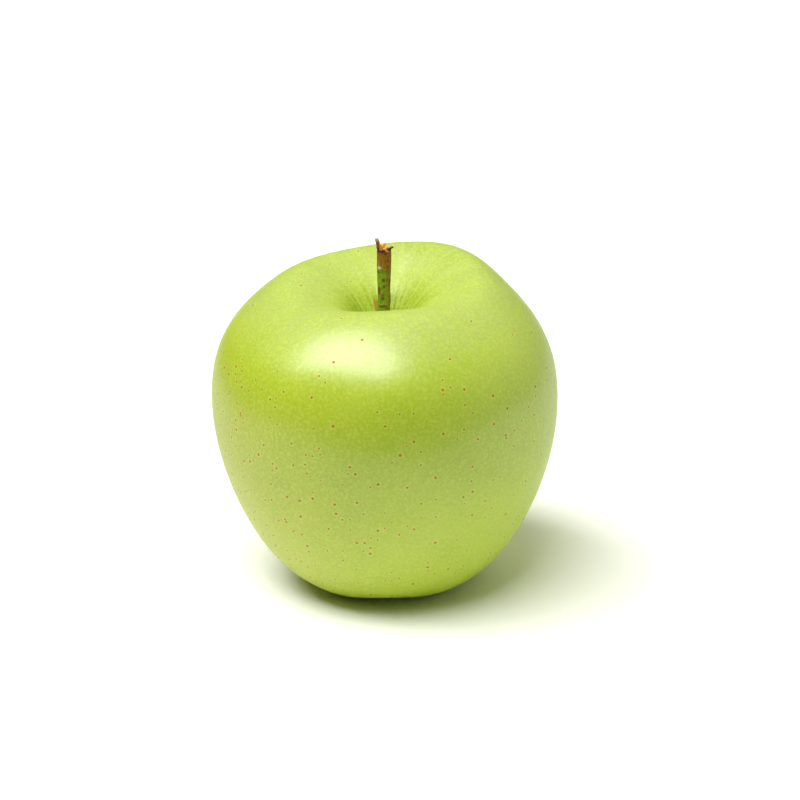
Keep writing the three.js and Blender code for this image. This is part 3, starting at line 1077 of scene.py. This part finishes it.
# %% [markdown]
# ## The torn fibres
#
# Wood tears into fibres. They are too thin for a solid, so they are made here: tapering
# slivers, each from its own root on the floor of the cup to its own tip, leaning a
# little outwards. A hair system could grow them, but thirty slivers with four sides
# each are quick to build and are plain mesh. Each draws a tone for its material too.
# The random draws are seeded, so every run tears the stem alike.

# %% The torn fibres
FIBRE_COUNT = 30
FIBRE_WIDTHS = (0.14 * MM, 0.26 * MM)
FIBRE_TIPS = (-0.8 * MM, 1.5 * MM)
FIBRE_LEAN = 0.5 * MM
FIBRE_TAPER = 0.6
FIBRE_STEPS = 4
FIBRE_SEED = 7
ROOTS_REACH = 0.85 * CUP_RADIUS

draw = random.Random(FIBRE_SEED)
rim_middle = Vector([np.polyval(bend, rim_height) for bend in bends] + [rim_height])
surface = bmesh.new()
tone_of_fibre = surface.verts.layers.float.new("tone")
for _ in range(FIBRE_COUNT):
    turn = draw.uniform(0, 2 * math.pi)
    outwards = Vector((math.cos(turn), math.sin(turn), 0))
    sideways = Vector((-outwards.y, outwards.x, 0))
    start = ROOTS_REACH * math.sqrt(draw.random())
    root = rim_middle + outwards * start - Vector((0, 0, CUP_DEPTH))
    rise = CUP_DEPTH + draw.uniform(*FIBRE_TIPS)
    width = draw.uniform(*FIBRE_WIDTHS)
    lean = FIBRE_LEAN * draw.random()
    tone = draw.random()
    rings = []
    for step in range(FIBRE_STEPS):
        share = step / FIBRE_STEPS
        middle = root + Vector((0, 0, rise * share)) + outwards * lean * share ** 2
        half = width / 2 * (1 - FIBRE_TAPER * share)
        corners = (outwards * half, sideways * half, -outwards * half, -sideways * half)
        rings.append([surface.verts.new(middle + corner) for corner in corners])
    tip = surface.verts.new(root + Vector((0, 0, rise)) + outwards * lean)
    for low, high in zip(rings, rings[1:]):
        for i in range(4):
            surface.faces.new((low[i], low[(i + 1) % 4], high[(i + 1) % 4], high[i]))
    for i in range(4):
        surface.faces.new((rings[-1][i], rings[-1][(i + 1) % 4], tip))
    surface.faces.new(rings[0][::-1])
    for corner in [corner for ring in rings for corner in ring] + [tip]:
        corner[tone_of_fibre] = tone
torn_fibres = new_piece("torn_fibres", surface)
torn_fibres.data.shade_smooth()
print("fibres: %d, with %d faces" % (FIBRE_COUNT, len(torn_fibres.data.polygons)))

# %% [markdown]
# Freshly torn wood is matt and goes from cream through orange to brown as it dries, so
# it gives the eye a small warm spark on top of the dark stem. A material for each colour
# would do, but a colour ramp turns each fibre's tone into one of these colours or into
# one between them. Wood cells are a fiftieth of a millimetre wide, too fine to show, so
# the grain that keeps a fibre from being flat is drawn 0.15 mm wide.

# %% The fibres' material
WOOD_TONES = ((0.0, "#FFE68C"), (0.45, "#FBD050"), (0.75, "#E08830"), (1.0, "#6A3412"))
WOOD_YELLOW = "#F0B840"
WOOD_GRAIN = 0.15 * MM

torn_wood, tree, output = new_material("torn_apple_wood")
tone = add_node(tree, "ShaderNodeAttribute", attribute_name="tone")
tones = add_node(tree, "ShaderNodeValToRGB", {"Fac": tone.outputs["Fac"]})
ramp = tones.color_ramp.elements
ramp[0].color, ramp[1].color = linear(WOOD_TONES[0][1]), linear(WOOD_TONES[-1][1])
for position, colour in WOOD_TONES[1:-1]:
    ramp.new(position).color = linear(colour)
print("colours on the ramp:", len(ramp))
along_wood = add_node(tree, "ShaderNodeTexNoise", {
    "Vector": add_node(tree, "ShaderNodeTexCoord").outputs["Object"],
    "Scale": 1 / WOOD_GRAIN, "Detail": 2.0,
})
wood_colour = add_node(tree, "ShaderNodeMix", {
    "Factor_Float": along_wood.outputs["Fac"],
    "A_Color": tones.outputs["Color"], "B_Color": linear(WOOD_YELLOW),
}, data_type="RGBA")
wood = add_node(tree, "ShaderNodeBsdfPrincipled", {
    "Base Color": wood_colour.outputs[2],
    "Roughness": 0.6,
})
tree.links.new(wood.outputs["BSDF"], output.inputs["Surface"])
torn_fibres.data.materials.append(torn_wood)
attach(torn_fibres, "root")

# %% [markdown]
# ## The calyx and the stamens
#
# The five sepals of the flower never fall off. They dry, wrinkle and close over the eye
# in the foot of the fruit, and the stamens wither behind them. Cloth simulation could
# crumple them, but they are a few millimetres long and hardly seen. So both are made as
# the stem is: an even skin on the solid, then wrinkles along it.

# %% The calyx and the stamens
SEPAL_FINENESS = 0.11 * MM
STAMEN_FINENESS = 0.08 * MM
WRINKLE_SIZE = 0.55 * MM
WRINKLE_HEIGHT = 0.12 * MM
WRINKLE_STRETCH = 0.35

calyx = even_skin("apple_calyx", "calyx", SEPAL_FINENESS, smoothing=3)
stamens = even_skin("apple_stamens", "stamens", STAMEN_FINENESS, smoothing=2)
for piece, size, wrinkle in (
    (calyx, WRINKLE_SIZE, WRINKLE_HEIGHT),
    (stamens, 0.4 * WRINKLE_SIZE, 0.6 * WRINKLE_HEIGHT),
):
    places = rows_of(piece, "co")
    wrinkles = grain(places * np.array((1, 1, WRINKLE_STRETCH)), size, seed=8)
    crumples = grain(places, 3 * size, seed=9)
    lift = wrinkle * (0.6 * wrinkles + 0.7 * crumples)
    move_to(piece, places + lift[:, None] * rows_of(piece, "normal"))
    store(piece, "wrinkles", wrinkles)
    depth = (places[:, 2] - places[:, 2].min()) / np.ptp(places[:, 2])
    store(piece, "tip", fade(depth, 0.35, 0.0))
    print(piece.name, "has", len(places), "vertices")

# %% [markdown]
# Dried sepals are brittle olive leaf with a grey down grown on them, darker at the tips;
# in the wrinkles they are painted darker too, which is painted shade. Hair could be grown
# on them here too, but a little sheen gives the eye the same soft dusty edge instead of
# a gleam. Stamens dry to a dark brown thread, with painted shade in their wrinkles as
# well. The hairs of the down are a hundredth of a millimetre thick, too fine to show, so
# the roughness that they make is drawn 0.3 mm wide. One loop makes both materials, since
# they differ only in their colours and in how downy they are.

# %% The materials of the dried flower
SPECK_SIZE = 0.3 * MM
SPECK_HEIGHT = 0.06 * MM
DRIED_PIECES = (
    (calyx, "dried_downy_sepal", "dried_sepal", "calyx", 0.4),
    (stamens, "dried_stamen_thread", "dried_stamen", "stamens", 0.1),
)

# Each one's ground, the painted shade in its wrinkles, and its tips.
DRIED_COLOURS = {
    "calyx": ("#77763C", "#3B3418", "#4A2C14"),
    "stamens": ("#5A3E22", "#2C1C0E", "#8A6A3A"),
}

for piece, name, slot, node, sheen in DRIED_PIECES:
    ground, hollow_shade, tips = DRIED_COLOURS[node]
    material, tree, output = new_material(name)
    place = add_node(tree, "ShaderNodeTexCoord").outputs["Object"]
    wrinkles = add_node(tree, "ShaderNodeAttribute", attribute_name="wrinkles")
    tip = add_node(tree, "ShaderNodeAttribute", attribute_name="tip")
    # Painted shade: the hollows of the wrinkles are painted darker.
    painted_shade_in_hollows = add_node(tree, "ShaderNodeMapRange", {
        "Value": wrinkles.outputs["Fac"],
        "From Min": 0.25, "From Max": -0.45, "To Min": 0.0, "To Max": 0.9,
    })
    colour = linear(ground)
    for share, over in ((painted_shade_in_hollows.outputs["Result"], hollow_shade), (tip.outputs["Fac"], tips)):
        colour = add_node(tree, "ShaderNodeMix", {
            "Factor_Float": share, "A_Color": colour, "B_Color": linear(over),
        }, data_type="RGBA").outputs[2]
    specks = add_node(tree, "ShaderNodeTexNoise", {
        "Vector": place, "Scale": 1 / SPECK_SIZE, "Detail": 3.0,
    })
    rough = add_node(tree, "ShaderNodeBump", {
        "Height": specks.outputs["Fac"], "Strength": 1.0, "Distance": SPECK_HEIGHT,
    })
    dried = add_node(tree, "ShaderNodeBsdfPrincipled", {
        "Base Color": colour,
        "Roughness": 0.85,
        "Sheen Weight": sheen,
        "Normal": rough.outputs["Normal"],
    })
    tree.links.new(dried.outputs["BSDF"], output.inputs["Surface"])
    piece.data.materials.append(material)
    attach(piece, "root")
    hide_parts(node)
    print(piece.name, "is made of", name)
